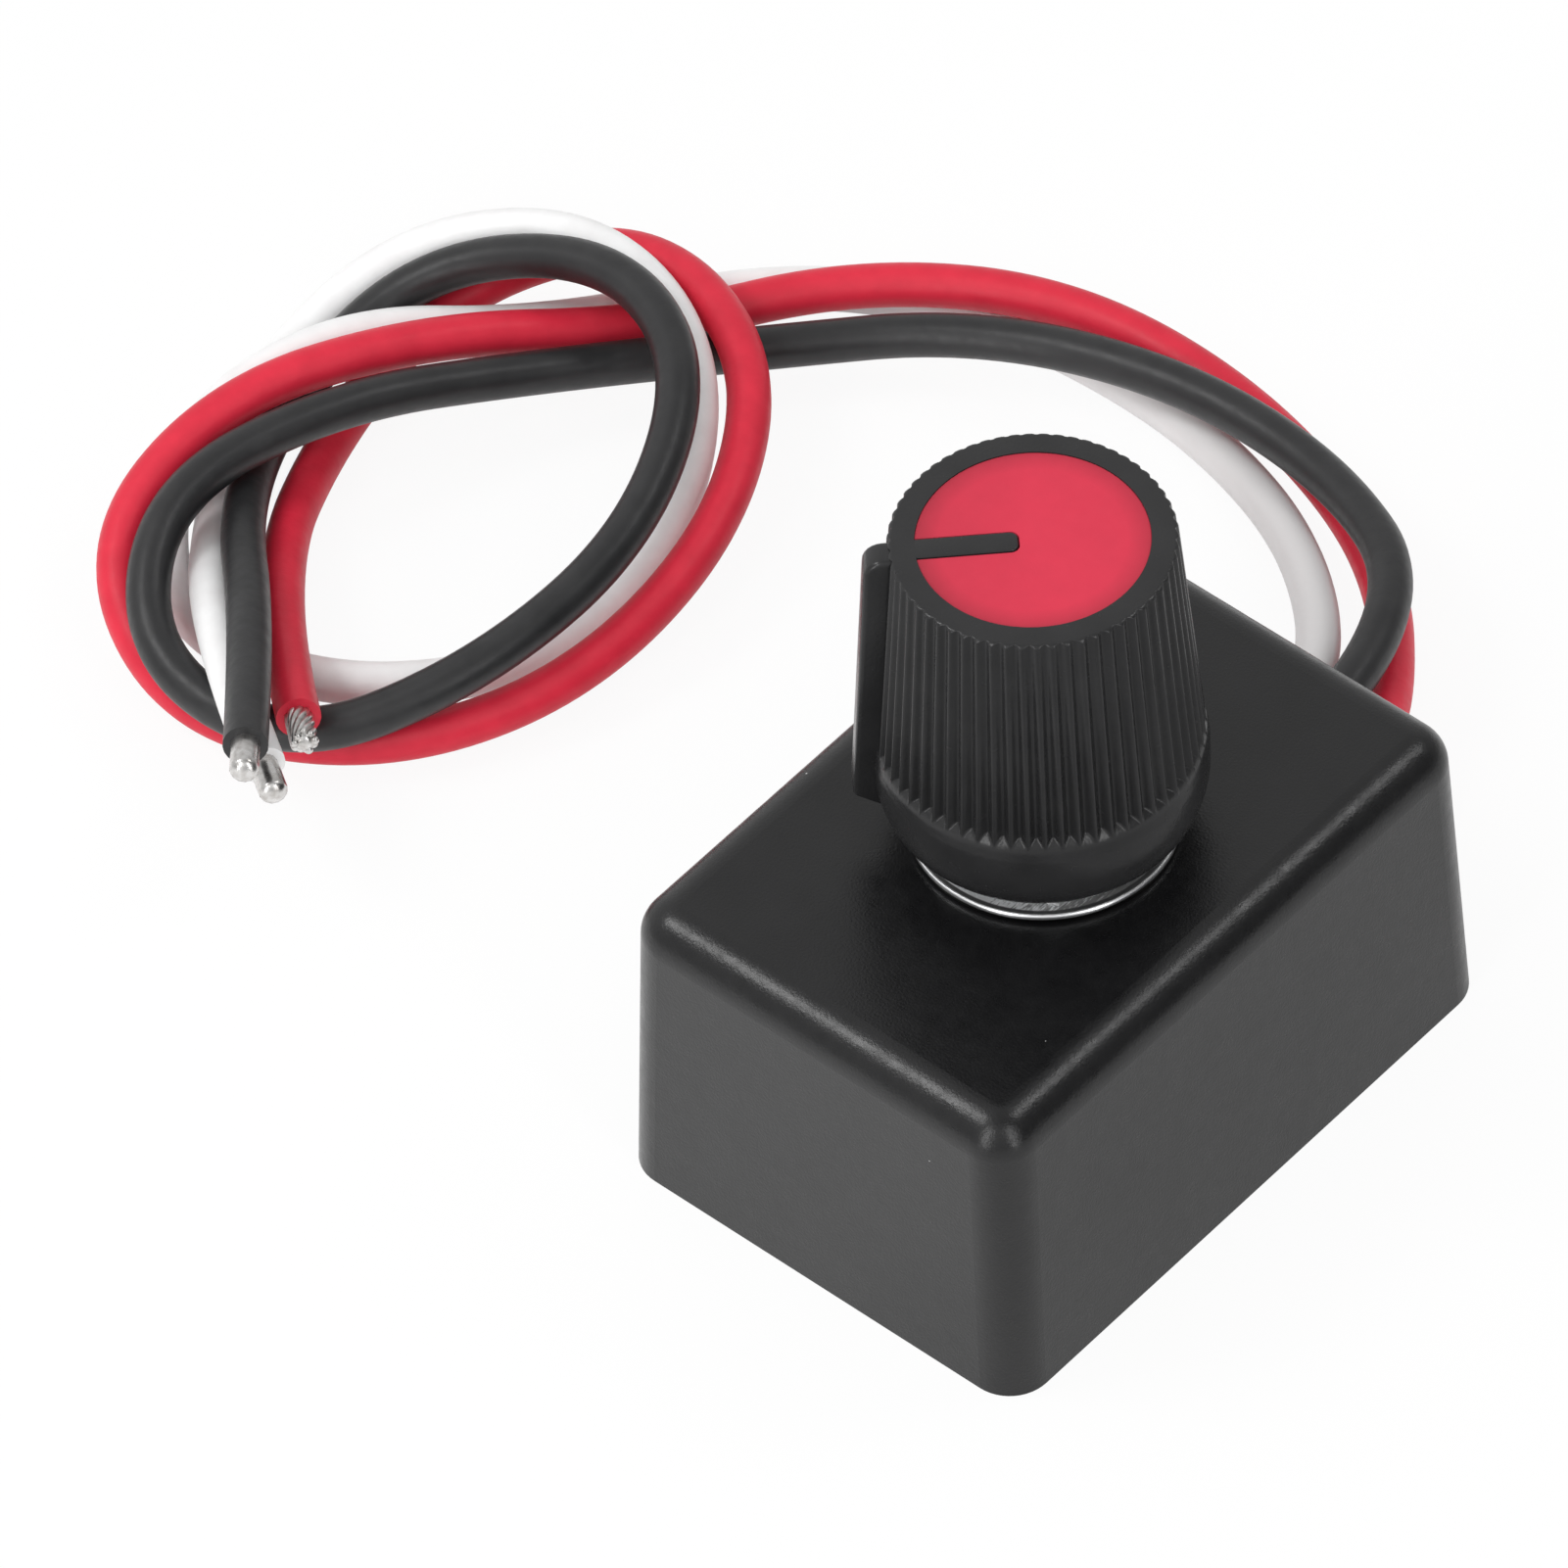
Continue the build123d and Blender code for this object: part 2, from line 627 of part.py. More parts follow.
# Knob: fluted taper, skirt with a collar, pointer rib, recess for the cap, bores for nut, bushing and shaft
with BuildPart() as knob:
    with BuildSketch(Plane.XZ):
        Polygon(
            (0, shoulder), (flute_radius, shoulder), (knob_top_radius, knob_top), (0, knob_top), align=None
        )
    revolve(axis=Axis.Z)
    fillet(knob.edges().group_by(Axis.Z)[-1], top_round)
    with PolarLocations(0, flute_count):
        add(flute_cutter.part, mode=Mode.SUBTRACT)
    with BuildSketch(Plane.XZ) as skirt_profile:
        with BuildLine():
            turn = EllipticalCenterArc(
                (skirt_radius - skirt_round, knob_base + skirt_round_rise),
                skirt_round,
                skirt_round_rise,
                start_angle=270,
                arc_size=90,
            )
            Polyline(
                turn @ 1,
                (skirt_radius, shoulder),
                (skirt_radius - collar_lean, shoulder + collar_height),
                (skirt_radius - collar_width, collar_top),
                (0, collar_top),
                (0, knob_base),
                turn @ 0,
            )
        make_face()
        collar_edge = skirt_profile.vertices().sort_by_distance((skirt_radius, shoulder + collar_height))[0]
        fillet(collar_edge, collar_round)
    revolve(axis=Axis.Z)
    add(pointer_rib.part)
    with BuildSketch(pointer_plane(knob_top)):
        Circle(cap_radius)
        pointer_bar(0)
    extrude(amount=-cap_recess, mode=Mode.SUBTRACT)
    with BuildSketch(Plane.XY.offset(knob_base)):
        Circle(hollow_radius)
    extrude(amount=hollow_top - knob_base, mode=Mode.SUBTRACT)
    with BuildSketch(Plane.XY.offset(hollow_top)):
        Circle(bushing_radius + knob_clearance)
    extrude(amount=pocket_top - hollow_top, mode=Mode.SUBTRACT)
    with BuildSketch(pointer_plane(pocket_top)):
        d_section(press_gap)
    extrude(amount=shaft_top - pocket_top, mode=Mode.SUBTRACT)
knob.part.label = "knob"
export_step(knob.part, "parts/knob.step")

# Cap: coloured disc let into the knob's top, slotted for the pointer bar
with BuildPart() as knob_cap:
    with BuildSketch(pointer_plane(knob_top - cap_recess)):
        Circle(cap_radius - cap_gap)
        pointer_bar(cap_gap)
    extrude(amount=cap_recess - cap_gap)
knob_cap.part.label = "knob_cap"
export_step(knob_cap.part, "parts/knob_cap.step")

# Leads, each a plain tube along its route, and the bare conductor at its far end
for colour, route in (("red", red_route), ("black", black_route), ("white", white_route)):
    radii = arc_radii(route)
    with BuildPart() as lead:
        with BuildLine() as path:
            FilletPolyline(*route, radius=radii)
        with BuildSketch(Plane(origin=path.line @ 0, z_dir=path.line % 0)) as section:
            Circle(lead_diameter / 2)
        sweep()
    lead.part.label = f"{colour}_wire"
    export_step(lead.part, f"parts/{colour}_wire.step")
    with BuildPart() as conductor:
        with BuildSketch(Plane(origin=path.line @ 1, z_dir=path.line % 1)):
            Circle(conductor_radius)
        extrude(amount=conductor_length)
    conductor.part.label = f"{colour}_conductor"
    export_step(conductor.part, f"parts/{colour}_conductor.step")
    length = sum(edge.length for edge in path.edges())
    share = lead.part.volume / (section.sketch.area * length)
    print(colour, "lead", round(length, 1), "long, radii", [round(radius, 1) for radius in radii])
    print(colour, "tube volume over its section times its length", round(share, 4))
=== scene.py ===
import json
from math import cos, pi, radians, sin, tan

import bmesh
import bpy
from mathutils import Matrix, Vector


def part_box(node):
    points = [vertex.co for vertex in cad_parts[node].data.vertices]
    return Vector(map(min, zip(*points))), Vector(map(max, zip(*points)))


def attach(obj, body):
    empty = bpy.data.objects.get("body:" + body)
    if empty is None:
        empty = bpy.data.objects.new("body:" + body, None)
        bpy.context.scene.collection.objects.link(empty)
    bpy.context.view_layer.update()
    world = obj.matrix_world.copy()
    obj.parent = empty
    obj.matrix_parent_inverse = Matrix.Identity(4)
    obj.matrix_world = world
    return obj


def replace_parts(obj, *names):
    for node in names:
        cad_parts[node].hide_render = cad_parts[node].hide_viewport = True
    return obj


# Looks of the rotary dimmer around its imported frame. The scene is in metres: sizes in millimetres are
# multiplied by MM where they are used.
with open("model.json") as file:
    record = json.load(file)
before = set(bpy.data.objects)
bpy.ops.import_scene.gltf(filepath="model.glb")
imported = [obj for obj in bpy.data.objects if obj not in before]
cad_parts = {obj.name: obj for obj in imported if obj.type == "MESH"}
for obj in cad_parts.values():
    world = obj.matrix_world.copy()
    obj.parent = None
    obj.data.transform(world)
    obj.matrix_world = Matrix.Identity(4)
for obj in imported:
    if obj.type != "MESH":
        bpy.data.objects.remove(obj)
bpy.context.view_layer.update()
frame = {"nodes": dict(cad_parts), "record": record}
scene = bpy.context.scene
scene.view_settings.view_transform = "Standard"
MM = 0.001

# Camera: the photograph's view, in its own pixels and degrees
PHOTO_SIDE = 1601
PHOTO_FOCAL = 20000
SENSOR = 36
VIEW_AZIMUTH = 43.3366
VIEW_ELEVATION = 48.1830
VIEW_ROLL = -3.2484
CAMERA_PLACE = (389.909, -429.996, 668.937)

# Leads
LEAD_DIAMETER = 2.1
CONDUCTOR_RADIUS = 0.68
CONDUCTOR_LENGTH = 2.2
STRAND_RAGGED = 0.12
RED_ROUTE = [
    (2.3, 11.5, 5.9), (2.3, 17.5, 5.9), (0.5, 23.5, 3.5), (-6.5, 31.5, 2.5), (-17, 35, 3), (-28, 34.5, 3.5),
    (-37, 29.5, 3), (-43, 21, 2.5), (-48.5, 12, 6), (-53, 2.5, 6.5), (-52.5, -6.5, 4), (-44.5, -10, 1.1),
    (-35.5, -6, 1.5), (-30.5, 2.5, 2.5), (-30.5, 13, 4.5), (-36, 21.5, 5.5), (-45.5, 24, 5), (-52, 18, 2),
    (-51, 8, 1.1), (-45.5, -2.5, 3.5), (-37, -9.5, 6),
]
BLACK_ROUTE = [
    (0, 11.5, 5.9), (0, 17.5, 5.9), (-2.5, 28.5, 6), (-10.5, 32.5, 5), (-20.5, 33, 4.5), (-30.5, 30, 3.5),
    (-38, 23.5, 2.5), (-44, 15, 4), (-48.5, 6, 6.5), (-51, -3.5, 6.5), (-46.5, -10, 4), (-38, -9.5, 3),
    (-33, -1.5, 5), (-32, 8.5, 6.5), (-36, 17, 8.5), (-44, 20, 8), (-52.5, 16.5, 4.5), (-53.5, 8, 2),
    (-49, -0.5, 4.5), (-41.5, -7.5, 7.5), (-35.5, -14.5, 9.5),
]
WHITE_ROUTE = [
    (-2.3, 11.5, 5.9), (-2.3, 17.5, 5.9), (-3.5, 23.5, 4.5), (-10, 29.5, 3), (-18.5, 33, 1.5),
    (-26.7, 33.6, 1.1), (-34.3, 32.2, 1.1), (-41.3, 27.7, 1.3), (-46.7, 18.6, 2), (-52.5, 10, 5.5),
    (-54.5, 1, 4), (-49.5, -5.5, 1.1), (-40.5, -5, 1.5), (-33.5, 2, 1.5), (-32.5, 11.5, 3),
    (-37.5, 19.5, 6), (-46.5, 22, 6.5), (-54.5, 17.5, 4), (-56, 8.5, 1.1), (-51.5, 0.5, 1.5),
    (-44.5, -7.5, 5.5), (-36, -13, 6.5),
]

# Knob
FLUTE_COUNT = 60
FLUTE_STEPS = 16
FLUTE_DEPTH = 0.38
FLUTE_RISE = 0.22
SKIRT_STEPS = 12
BODY_STEPS = 8
TOP_STEPS = 6
SKIRT_HEIGHT = 3.7
SKIRT_STEP = 0.08
SKIRT_ROUND = 1.4
SKIRT_ROUND_RISE = 2.6
COLLAR_HEIGHT = 1.0
COLLAR_LEAN = 0.14
COLLAR_WIDTH = 0.7
COLLAR_CROWN = 0.28
COLLAR_ROUND = 0.9
KNOB_TAPER = 4.3
TOP_ROUND = 0.24
CAP_RIM = 1.15
CAP_FIT = 0.07
CAP_RECESS = 0.8
HOLLOW_RADIUS = 6.0
POCKET_RADIUS = 3.73
BORE_RADIUS = 3.02
BORE_ROOM = 0.5

# Pointer on the knob
POINTER_ANGLE = -135
POINTER_WIDTH = 1.4
POINTER_STAND = 1.0
POINTER_TOP_STAND = 1.1
POINTER_DROP = 0.1
POINTER_CORNER = 0.9
POINTER_EDGE = 0.25
POINTER_TOE = 0.6
POINTER_TOE_RISE = 1.0
POINTER_ROOT = 0.55
BAR_WIDTH = 1.12
BAR_START = 0.65
BAR_CORNER = 0.35
BAR_EDGE = 0.08
BAR_DROP = 0.005
pointer_direction = Vector((cos(radians(POINTER_ANGLE)), sin(radians(POINTER_ANGLE)), 0))
pointer_across = Vector((0, 0, 1)).cross(pointer_direction)


def scene_object(name, data):
    """New object in the scene."""
    made = bpy.data.objects.new(name, data)
    scene.collection.objects.link(made)
    return made


# Materials: sizes of their textures in millimetres, and colours
MOTTLE = 2.5
DUST_SPACING = 1.7
DUST_RADIUS = 0.07
DUST_GREY = (0.5, 0.5, 0.5)
STREAK = 0.35
SCUFF = 0.3
SCUFF_REACH = 3
# The washer's flat is painted bright on the side toward the left soft box as a painted highlight, and grey
# on the rest as painted shade, with a boundary made ragged by the scuffs
LAMP_SIDE_EDGE = 1.5
SHADED_FLAT_GREY = (0.36, 0.36, 0.36)
RING_GREY = (0.12, 0.12, 0.12)
# The washer's side is painted near black below its top, as a painted reflection of the black housing top
PAINTED_REFLECTION_GREY = (0.03, 0.03, 0.03)
PAINTED_REFLECTION_DROP = (0.27, 0.2)
NUT_RISE = (0.02, 0.06)
WASHER_RING = (5.84, 5.9)
# Run along X, in millimetres, over which the white lead's painted shade by the box fades out
EXIT_SHADE_RUN = (-14, -32)
COPPER_RUN = 9
BOARD_GREENS = ((0.012, 0.11, 0.04), (0.02, 0.2, 0.075))
WALL_TO_TOP = (0.15, 0.5)
SLOPE_TO_FLAT = (0.85, 0.98)
LAMP_SIDE = (-0.755, -0.655, 0)
SCUFF_STRETCH = (3, 0.6, 1)
PLAIN = (1, 1, 1)
ROUND_STREAKS = (1, 1, 9)


class Surface:
    """A procedural material: a principled shader, fed by textures in the part's own coordinates."""

    def __init__(self, name, **sockets):
        self.material = bpy.data.materials.new(name)
        self.material.use_nodes = True
        self.tree = self.material.node_tree
        self.shader = self.tree.nodes["Principled BSDF"]
        for socket, value in sockets.items():
            self.shader.inputs[socket.replace("_", " ").title().replace("Ior", "IOR")].default_value = value
        coordinates = self.add("TexCoord").outputs
        self.place, self.facing = coordinates["Object"], coordinates["Normal"]
        self.bumps = None

    def add(self, kind, **settings):
        """A node of a kind, with its plain settings."""
        node = self.tree.nodes.new("ShaderNode" + kind)
        for setting, value in settings.items():
            setattr(node, setting, value)
        return node

    def link(self, source, target):
        self.tree.links.new(source, target)

    def length(self, vector):
        """Length of a vector."""
        node = self.add("VectorMath", operation="LENGTH")
        self.link(vector, node.inputs[0])
        return node.outputs["Value"]

    def along(self, direction):
        """Distance along a direction, from the part's origin."""
        node = self.add("VectorMath", operation="DOT_PRODUCT")
        node.inputs[1].default_value = direction
        self.link(self.place, node.inputs[0])
        return node.outputs["Value"]

    def axis(self, vector, letter):
        """One coordinate of a vector."""
        node = self.add("SeparateXYZ")
        self.link(vector, node.inputs[0])
        return node.outputs[letter]

    def stretched(self, scale):
        """The part's coordinates, multiplied along each axis."""
        mapping = self.add("Mapping")
        mapping.inputs["Scale"].default_value = scale
        self.link(self.place, mapping.inputs["Vector"])
        return mapping.outputs["Vector"]

    def noise(self, size, detail=3, stretch=None):
        """Cloudy values from 0 to 1, about the given size in millimetres."""
        node = self.add("TexNoise")
        node.inputs["Scale"].default_value = 1 / (size * MM)
        node.inputs["Detail"].default_value = detail
        self.link(self.stretched(stretch) if stretch else self.place, node.inputs["Vector"])
        return node.outputs["Fac"]

    def specks(self, spacing, radius, share):
        """One round speck in some of the cells of a grid, as a mask, with sizes in millimetres."""
        cells = self.add("TexVoronoi")
        cells.inputs["Scale"].default_value = 1 / (spacing * MM)
        self.link(self.place, cells.inputs["Vector"])
        dots = self.math("LESS_THAN", cells.outputs["Distance"], radius / spacing)
        chosen = self.add("SeparateColor")
        self.link(cells.outputs["Color"], chosen.inputs["Color"])
        kept = self.math("LESS_THAN", chosen.outputs["Red"], share)
        return self.math("MULTIPLY", dots, kept)

    def math(self, operation, first, second):
        node = self.add("Math", operation=operation)
        for socket, value in zip(node.inputs, (first, second)):
            if isinstance(value, (int, float)):
                socket.default_value = value
            else:
                self.link(value, socket)
        return node.outputs["Value"]

    def ramp(self, value, low, high, start=0.3, end=0.7):
        """Values from low to high where the given ones go from start to end."""
        node = self.add("MapRange")
        self.link(value, node.inputs["Value"])
        for socket, number in zip(("From Min", "From Max", "To Min", "To Max"), (start, end, low, high)):
            node.inputs[socket].default_value = number
        return node.outputs["Result"]

    def mix(self, share, first, second):
        """Colour between two, each a plain colour or another node's."""
        node = self.add("Mix", data_type="RGBA")
        self.link(share, node.inputs["Factor"])
        for socket, value in ((node.inputs[6], first), (node.inputs[7], second)):
            if isinstance(value, tuple):
                socket.default_value = (*value, 1)
            else:
                self.link(value, socket)
        return node.outputs[2]

    def colour(self, value):
        self.link(value, self.shader.inputs["Base Color"])

    def roughness(self, value):
        self.link(value, self.shader.inputs["Roughness"])

    def bump(self, value, depth):
        """Relief of a depth in millimetres, on top of the relief that is there."""
        node = self.add("Bump")
        node.inputs["Strength"].default_value = 1
        node.inputs["Distance"].default_value = depth * MM
        self.link(value, node.inputs["Height"])
        if self.bumps:
            self.link(self.bumps, node.inputs["Normal"])
        self.bumps = node.outputs["Normal"]
        self.link(self.bumps, self.shader.inputs["Normal"])


def moulded(name, dark, light, rough, grain, depth, dust=0.0, sheen=None, **sockets):
    """Moulded plastic: faint mottling, a fine grain, a little dust, and walls that shine less than tops."""
    surface = Surface(name, **sockets)
    if sheen:
        shine = surface.ramp(surface.axis(surface.facing, "Z"), *sheen, *WALL_TO_TOP)
        surface.link(shine, surface.shader.inputs["Specular IOR Level"])
    colour = surface.mix(surface.ramp(surface.noise(MOTTLE, 4), 0, 1), dark, light)
    if dust:
        colour = surface.mix(surface.specks(DUST_SPACING, DUST_RADIUS, dust), colour, DUST_GREY)
    surface.colour(colour)
    surface.roughness(surface.ramp(surface.noise(0.7, 4), rough - 0.04, rough + 0.04))
    surface.bump(surface.noise(grain, 2), depth)
    return surface.material


def painted_shade_disc(name, middle, edge, rough, radius, **sockets):
    """Coloured disc: an even middle that goes darker to its edge in the recess and to the pointer's side,
    as painted shade.
    """
    surface = Surface(name, **sockets)
    out = surface.length(surface.stretched((1, 1, 0)))
    # Painted shade: darker at the recess wall and towards the pointer's side
    recess_shade = surface.ramp(out, 0, 0.75, 0.8 * radius, 1.02 * radius)
    side = surface.ramp(surface.along(pointer_direction), 0, 0.4, 0, radius)
    mottle = surface.ramp(surface.noise(1.2, 4), 0, 0.12)
    share = surface.math("ADD", surface.math("ADD", recess_shade, side), mottle)
    surface.colour(surface.mix(share, middle, edge))
    surface.roughness(surface.ramp(surface.noise(0.5, 3), rough - 0.05, rough + 0.05))
    surface.bump(surface.noise(0.1, 2), 0.003)
    return surface.material


def plated(name, dark, light, rough, streak, depth, **sockets):
    """Plated or turned metal with fine drawn streaks."""
    surface = Surface(name, metallic=1.0, **sockets)
    lines = surface.noise(STREAK, 4, streak)
    surface.colour(surface.mix(surface.ramp(lines, 0, 1), dark, light))
    surface.roughness(surface.ramp(surface.noise(0.5, 3), rough - 0.06, rough + 0.06))
    surface.bump(lines, depth)
    return surface.material


def bright_nut(name, dark, light, rough, depth, top):
    """Plating of the nut and of the washer with the given top: the washer's flat has a painted highlight
    toward the left soft box and painted shade elsewhere, a darker ring near its edge, and a side painted
    dark as a painted reflection of the black housing top.
    """
    surface = Surface(name, metallic=1.0)
    height = surface.axis(surface.place, "Z")
    level = surface.ramp(surface.axis(surface.facing, "Z"), 0, 1, *SLOPE_TO_FLAT)
    on_nut = surface.ramp(height, 0, 1, *(top + rise * MM for rise in NUT_RISE))
    above_reflection = surface.ramp(height, 0, 1, *(top - drop * MM for drop in PAINTED_REFLECTION_DROP))
    lines = surface.noise(STREAK, 4, ROUND_STREAKS)
    scuffs = surface.noise(SCUFF, 3, SCUFF_STRETCH)
    streaked = surface.mix(surface.ramp(lines, 0, 1, 0.4, 0.6), dark, light)
    bright = surface.mix(on_nut, light, streaked)
    ragged = surface.ramp(scuffs, -SCUFF_REACH * MM, SCUFF_REACH * MM)
    # Painted highlight on the flat's side toward the left soft box, painted shade grey on the rest
    toward_lamp = surface.math("ADD", surface.along(LAMP_SIDE), ragged)
    flat = surface.mix(surface.ramp(toward_lamp, 0, 1, -LAMP_SIDE_EDGE * MM, LAMP_SIDE_EDGE * MM), SHADED_FLAT_GREY, light)
    out = surface.length(surface.stretched((1, 1, 0)))
    flat = surface.mix(surface.ramp(out, 0, 1, *(radius * MM for radius in WASHER_RING)), flat, RING_GREY)
    # Painted reflection: the washer's side is painted dark
    surface.colour(surface.mix(above_reflection, PAINTED_REFLECTION_GREY, surface.mix(level, bright, flat)))
    surface.roughness(surface.ramp(level, *rough, 0, 1))
    surface.bump(surface.math("MULTIPLY", lines, on_nut), depth)
    surface.bump(surface.math("MULTIPLY", scuffs, level), 2 * depth)
    return surface.material


def silicone(name, dark, light, rough, exit_shade=None, **sockets):
    """Soft lead insulation: a little uneven, with a fine bloom, and painted darker where it leaves the box,
    as painted shade.
    """
    surface = Surface(name, **sockets)
    colour = surface.mix(surface.ramp(surface.noise(1.6, 4), 0, 1), dark, light)
    # Painted shade: the lead is darker towards the box, where it leaves it
    if exit_shade:
        unshaded = surface.ramp(surface.axis(surface.place, "X"), 0, 1, *(run * MM for run in EXIT_SHADE_RUN))
        colour = surface.mix(unshaded, exit_shade, colour)
    surface.colour(colour)
    surface.roughness(surface.ramp(surface.noise(0.5, 3), rough - 0.05, rough + 0.05))
    surface.bump(surface.noise(1.1, 2), 0.03)
    surface.bump(surface.noise(0.12, 2), 0.004)
    return surface.material


def printed_board(name):
    """Green solder mask over copper runs."""
    surface = Surface(name, roughness=0.3, coat_weight=0.3)
    runs = surface.add("TexBrick")
    runs.inputs["Scale"].default_value = 1 / (COPPER_RUN * MM)
    surface.link(surface.place, runs.inputs["Vector"])
    surface.colour(surface.mix(runs.outputs["Fac"], *BOARD_GREENS))
    surface.bump(runs.outputs["Fac"], 0.03)
    return surface.material


cap_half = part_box("knob_cap")[1].x
washer_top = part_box("pot_washer")[1].z
materials = {
    "housing_plastic": moulded(
        "housing_plastic", (0.0045, 0.0045, 0.005), (0.007, 0.007, 0.0075), 0.3, 0.13, 0.012, dust=0.03
    ),
    "knob_plastic": moulded(
        "knob_plastic", (0.017, 0.017, 0.0176), (0.022, 0.022, 0.0227), 0.24, 0.16, 0.010,
        dust=0.02, sheen=(0.13, 0.4),
    ),
    # The cap's second colour is its painted shade at the edge and on the pointer's side
    "cap_plastic": painted_shade_disc(
        "cap_plastic", (0.645, 0.040, 0.076), (0.4, 0.030, 0.052), 0.7, cap_half, specular_ior_level=0.2
    ),
    "red_silicone": silicone(
        "red_silicone", (0.64, 0.020, 0.046), (0.73, 0.026, 0.056), 0.45, specular_ior_level=0.3
    ),
    "black_silicone": silicone("black_silicone", (0.013, 0.013, 0.014), (0.020, 0.020, 0.021), 0.42),
    # The white lead's last colour is its painted shade where it leaves the box
    "white_silicone": silicone(
        "white_silicone", (0.87, 0.86, 0.86), (0.94, 0.94, 0.94), 0.42, exit_shade=(0.69, 0.67, 0.67)
    ),
    "tinned_copper": plated("tinned_copper", (0.48, 0.46, 0.44), (0.74, 0.73, 0.72), 0.3, PLAIN, 0.01),
    "plated_steel": bright_nut(
        "plated_steel", (0.4, 0.41, 0.41), (0.97, 0.98, 0.99), (0.32, 0.6), 0.05, washer_top
    ),
    "plated_zinc": plated("plated_zinc", (0.5, 0.5, 0.49), (0.7, 0.7, 0.68), 0.32, PLAIN, 0.006),
    "shaft_metal": plated("shaft_metal", (0.6, 0.6, 0.6), (0.78, 0.78, 0.78), 0.28, ROUND_STREAKS, 0.005),
    "spring_brass": plated("spring_brass", (0.55, 0.42, 0.2), (0.75, 0.6, 0.32), 0.3, PLAIN, 0.004),
    "rotor_plastic": moulded("rotor_plastic", (0.05, 0.05, 0.05), (0.08, 0.08, 0.08), 0.4, 0.2, 0.004),
    "wafer_phenolic": moulded("wafer_phenolic", (0.2, 0.09, 0.035), (0.3, 0.15, 0.06), 0.4, 0.3, 0.006),
    "track_carbon": moulded("track_carbon", (0.015, 0.015, 0.016), (0.03, 0.03, 0.03), 0.5, 0.1, 0.003),
    "board_laminate": printed_board("board_laminate"),
    "component_epoxy": moulded(
        "component_epoxy", (0.012, 0.012, 0.012), (0.022, 0.022, 0.022), 0.5, 0.1, 0.01
    ),
    "capacitor_ceramic": moulded("capacitor_ceramic", (0.3, 0.2, 0.11), (0.42, 0.3, 0.18), 0.5, 0.1, 0.005),
    "tin_solder": plated("tin_solder", (0.55, 0.55, 0.55), (0.75, 0.75, 0.75), 0.25, PLAIN, 0.01),
}


def dress(piece, slot):
    """Gives a piece the material of a slot in the record."""
    piece.data.materials.clear()
    piece.data.materials.append(materials[slot])


def new_piece(name, mesh, body, slot, sharp=40):
    """A mesh piece that rides on a body, smooth except at edges sharper than an angle in degrees."""
    mesh.shade_smooth()
    mesh.set_sharp_from_angle(angle=radians(sharp))
    piece = scene_object(name, mesh)
    dress(piece, slot)
    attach(piece, body)
    return piece


# Camera
camera = scene_object("photo_camera", bpy.data.cameras.new("photo_camera"))
camera.data.sensor_width = SENSOR
camera.data.lens = PHOTO_FOCAL / PHOTO_SIDE * SENSOR
camera.matrix_world = (
    Matrix.Translation(Vector(CAMERA_PLACE) * MM)
    @ Matrix.Rotation(radians(VIEW_AZIMUTH), 4, "Z")
    @ Matrix.Rotation(radians(90 - VIEW_ELEVATION), 4, "X")
    @ Matrix.Rotation(radians(VIEW_ROLL), 4, "Z")
)
scene.camera = camera


# Leads
def strand(mesh, start, along, side, offset, radius, length, twist, tilt):
    """One strand of a conductor, wound about its line, as a round-ended tube added to a mesh."""
    steps, around = 12, 12
    angles = [2 * pi * k / around for k in range(around)]
    across = along.cross(side)
    rings = []
    for step in range(steps + 4):
        share = min(step / steps, 1)
        dome = radians(30 * max(step - steps, 0))
        turn = tilt + twist * share
        centre = start + along * ((length - radius / 2) * share + radius / 2 * sin(dome))
        centre += (side * cos(turn) + across * sin(turn)) * offset
        width = radius * max(cos(dome), 0.1)
        rings.append([
            mesh.verts.new(centre + (side * cos(angle) + across * sin(angle)) * width) for angle in angles
        ])
    for low, high in zip(rings, rings[1:]):
        for k in range(around):
            mesh.faces.new((low[k], low[k - 1], high[k - 1], high[k]))
    mesh.faces.new(rings[0])
    mesh.faces.new(reversed(rings[-1]))


def conductor(name, route, strands, spread, twist):
    """Bare end of a lead: a tinned core, with strands wound round it, each a share of its radius thick."""
    end, before = Vector(route[-1]) * MM, Vector(route[-2]) * MM
    along = (end - before).normalized()
    side = along.orthogonal().normalized()
    full = CONDUCTOR_RADIUS * MM
    radius = spread * full
    length = CONDUCTOR_LENGTH * MM
    mesh = bmesh.new()
    strand(mesh, end, along, side, 0, full - radius if strands else full, length, 0, 0)
    for number in range(strands):
        tilt = 2 * pi * number / strands
        ragged = 1 - STRAND_RAGGED * (number * 7 % 5) / 4
        strand(mesh, end, along, side, full - radius, radius, length * ragged, twist, tilt)
    data = bpy.data.meshes.new(name)
    mesh.to_mesh(data)
    mesh.free()
    piece = new_piece(name + "_strands", data, "housing", "tinned_copper", 60)
    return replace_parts(piece, name)


def lead(colour, route, strands=0, spread=0, twist=0):
    """One lead: a smooth tube along its route to its bare end."""
    curve = bpy.data.curves.new(colour + "_lead", "CURVE")
    curve.dimensions = "3D"
    spline = curve.splines.new("NURBS")
    spline.points.add(len(route) - 1)
    for point, place in zip(spline.points, route):
        point.co = (*(Vector(place) * MM), 1)
    spline.order_u = 3
    spline.use_endpoint_u = True
    spline.resolution_u = 16
    curve.bevel_depth = LEAD_DIAMETER / 2 * MM
    curve.bevel_resolution = 8
    curve.use_fill_caps = True
    piece = scene_object(colour + "_lead", curve)
    dress(piece, colour + "_silicone")
    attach(piece, "housing")
    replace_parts(piece, colour + "_wire")
    tip = conductor(colour + "_conductor", route, strands, spread, twist)


lead("red", RED_ROUTE, strands=9, spread=0.3, twist=2.2)
lead("black", BLACK_ROUTE)
lead("white", WHITE_ROUTE)

